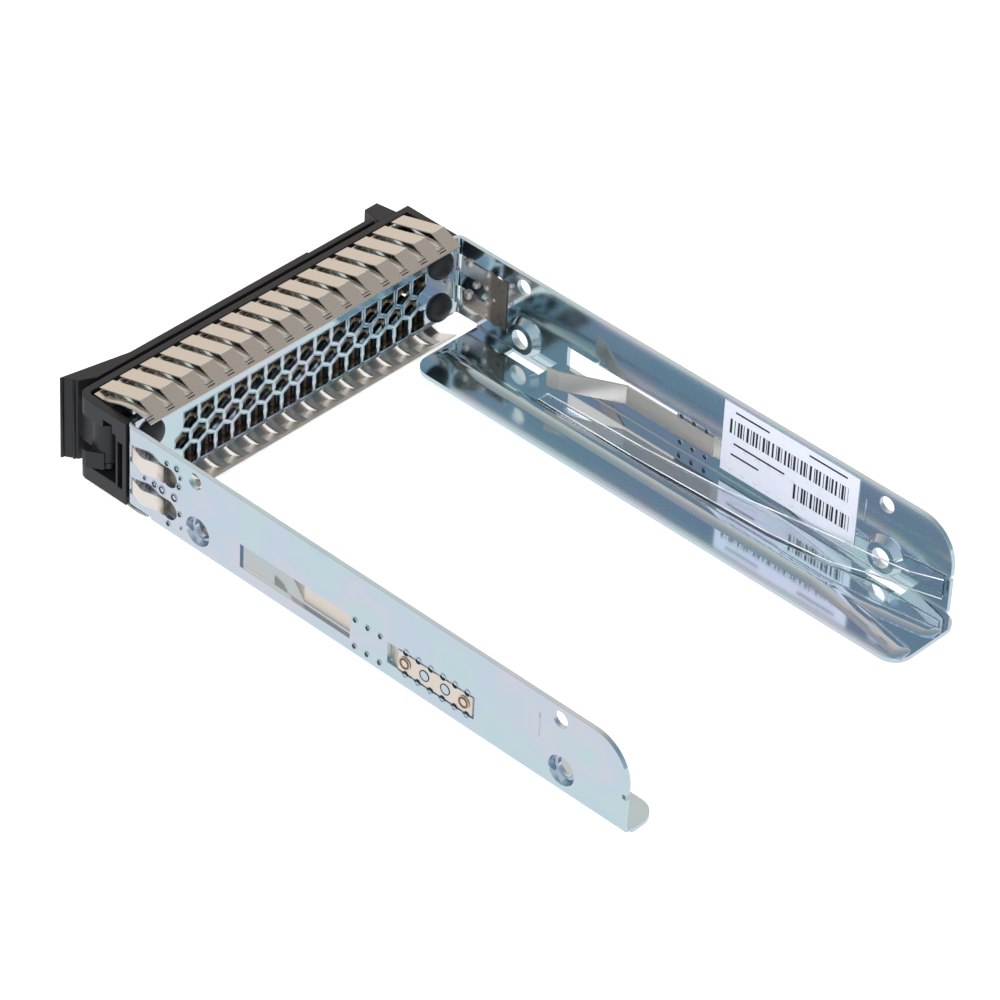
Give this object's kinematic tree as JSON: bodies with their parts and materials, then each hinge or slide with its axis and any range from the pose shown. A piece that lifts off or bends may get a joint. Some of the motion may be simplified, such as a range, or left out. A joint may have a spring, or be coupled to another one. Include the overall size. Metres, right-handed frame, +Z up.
{
  "type": "hot swap drive caddy",
  "caption": "Folded zinc plated drive tray with a black front bezel, swinging ejector lever, release latch, honeycomb front and rows of grounding spring fingers.",
  "frame": {"origin": "bottom centre of the caddy's bounding box, with the lever shut", "axes": "+X across the caddy towards the lever's hinge, +Y along the rails from the bezel towards the connector end, +Z up"},
  "size_m": [0.0756, 0.1246, 0.0216],
  "materials": {
    "zinc_sheet": "bright zinc plated, blue passivated",
    "nickel_screen": "satin nickel plated",
    "spring_nickel": "satin nickel plated",
    "leaf_steel": "bright spring steel",
    "rivet_brass": "satin",
    "pin_steel": "satin",
    "black_moulding": "fine matt texture",
    "clear_moulding": "clear",
    "label_paper": "matt"
  },
  "bodies": {
    "carrier": {"tray": "zinc_sheet", "inner_screen": "nickel_screen", "top_finger_strip": "spring_nickel", "bottom_finger_strip": "spring_nickel", "bezel": "black_moulding", "lever_pin": "pin_steel", "lever_spring": "pin_steel", "latch_spring": "pin_steel", "near_side_contact": "spring_nickel", "far_side_contact": "spring_nickel", "near_leaf_spring": "leaf_steel", "far_leaf_spring": "leaf_steel", "near_front_rivet": "rivet_brass", "near_rear_rivet": "rivet_brass", "far_front_rivet": "rivet_brass", "far_rear_rivet": "rivet_brass", "light_pipe": "clear_moulding", "label": "label_paper"},
    "lever": {"ejector_lever": "black_moulding"},
    "latch": {"release_latch": "black_moulding"}
  },
  "joints": [
    {"name": "lever_hinge", "type": "hinge", "parent": "carrier", "child": "lever", "pos_m": [0.0337, -0.0533, 0.0108], "axis": [0, 0, 1], "range_deg": [0, 55]},
    {"name": "latch_slide", "type": "slide", "parent": "carrier", "child": "latch", "axis": [-1, 0, 0], "range_m": [0, 0.0015], "stiffness_N_per_m": 100, "deforming": ["latch_spring"]}
  ]
}
